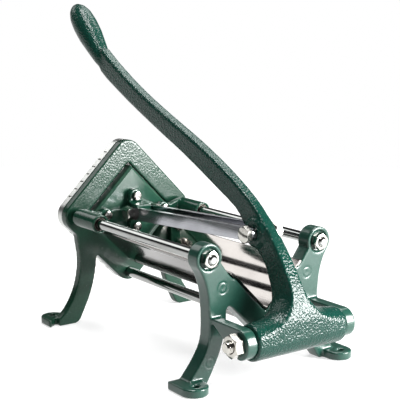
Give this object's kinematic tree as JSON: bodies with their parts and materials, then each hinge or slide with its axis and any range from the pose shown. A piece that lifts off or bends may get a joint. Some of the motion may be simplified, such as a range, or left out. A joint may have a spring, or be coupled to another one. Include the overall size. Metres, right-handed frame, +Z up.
{
  "type": "french fry cutter",
  "caption": "Bench-mounted lever press that drives a fingered pusher block along two guide rods through a square blade grid, with a V trough between cast end frames.",
  "frame": {"origin": "on the bench, below the middle of the overall length and width", "axes": "+Z up, +Y from the blade head to the lever pivot, +X to the side that carries the pivot nut"},
  "size_m": [0.18, 0.3677, 0.3083],
  "materials": {
    "green_enamel": "glossy dark green hammered enamel over cast iron",
    "polished_steel": "polished round bar and blades",
    "stainless_sheet": "bright stainless",
    "zinc_steel": "zinc-plated fasteners",
    "cast_aluminium": "cast, machined faces",
    "bronze": "dark oiled bronze bushing"
  },
  "bodies": {
    "frame": {"blade_falling_1": "polished_steel", "blade_falling_2": "polished_steel", "blade_falling_3": "polished_steel", "blade_falling_4": "polished_steel", "blade_falling_5": "polished_steel", "blade_falling_6": "polished_steel", "blade_falling_7": "polished_steel", "blade_frame": "cast_aluminium", "blade_frame_screw": "zinc_steel", "blade_rising_1": "polished_steel", "blade_rising_2": "polished_steel", "blade_rising_3": "polished_steel", "blade_rising_4": "polished_steel", "blade_rising_5": "polished_steel", "blade_rising_6": "polished_steel", "blade_rising_7": "polished_steel", "guide_rod_left": "polished_steel", "guide_rod_left_front_nut": "zinc_steel", "guide_rod_left_rear_nut": "zinc_steel", "guide_rod_right": "polished_steel", "guide_rod_right_front_nut": "zinc_steel", "guide_rod_right_rear_nut": "zinc_steel", "head_frame": "green_enamel", "pivot_bolt": "zinc_steel", "pivot_nut": "zinc_steel", "rear_frame": "green_enamel", "tie_rod": "polished_steel", "tie_rod_front_nut": "zinc_steel", "tie_rod_rear_nut": "zinc_steel", "trough": "stainless_sheet"},
    "carriage": {"carriage": "green_enamel", "link_front_pin_core": "zinc_steel", "pusher_block": "green_enamel", "pusher_screw_bottom": "zinc_steel", "pusher_screw_left": "zinc_steel", "pusher_screw_right": "zinc_steel", "pusher_screw_top": "zinc_steel", "slide_bushing_left": "bronze", "slide_bushing_right": "bronze"},
    "lever": {"lever": "green_enamel"},
    "link": {"link_bar_left": "stainless_sheet", "link_bar_right": "stainless_sheet", "link_front_bolt_head": "zinc_steel", "link_front_bolt_tip": "zinc_steel", "link_front_nut": "zinc_steel", "link_rear_bolt": "zinc_steel", "link_rear_nut": "zinc_steel"}
  },
  "joints": [
    {"name": "lever_swing", "type": "hinge", "parent": "frame", "child": "lever", "pos_m": [0, 0.1696, 0.0438], "axis": [-1, 0, 0], "range_deg": [-3.5, 80]},
    {"name": "carriage_slide", "type": "slide", "parent": "frame", "child": "carriage", "axis": [0, 1, 0], "range_m": [-0.0051, 0.114]},
    {"name": "link_swing", "type": "hinge", "parent": "lever", "child": "link", "pos_m": [0, 0.1253, 0.1185], "axis": [-1, 0, 0], "range_deg": [-81, 4]}
  ],
  "couplings": [
    {"joint": "carriage_slide", "follows": "lever_swing", "m_per_rad": 0.0808},
    {"joint": "link_swing", "follows": "lever_swing", "ratio": -1}
  ]
}
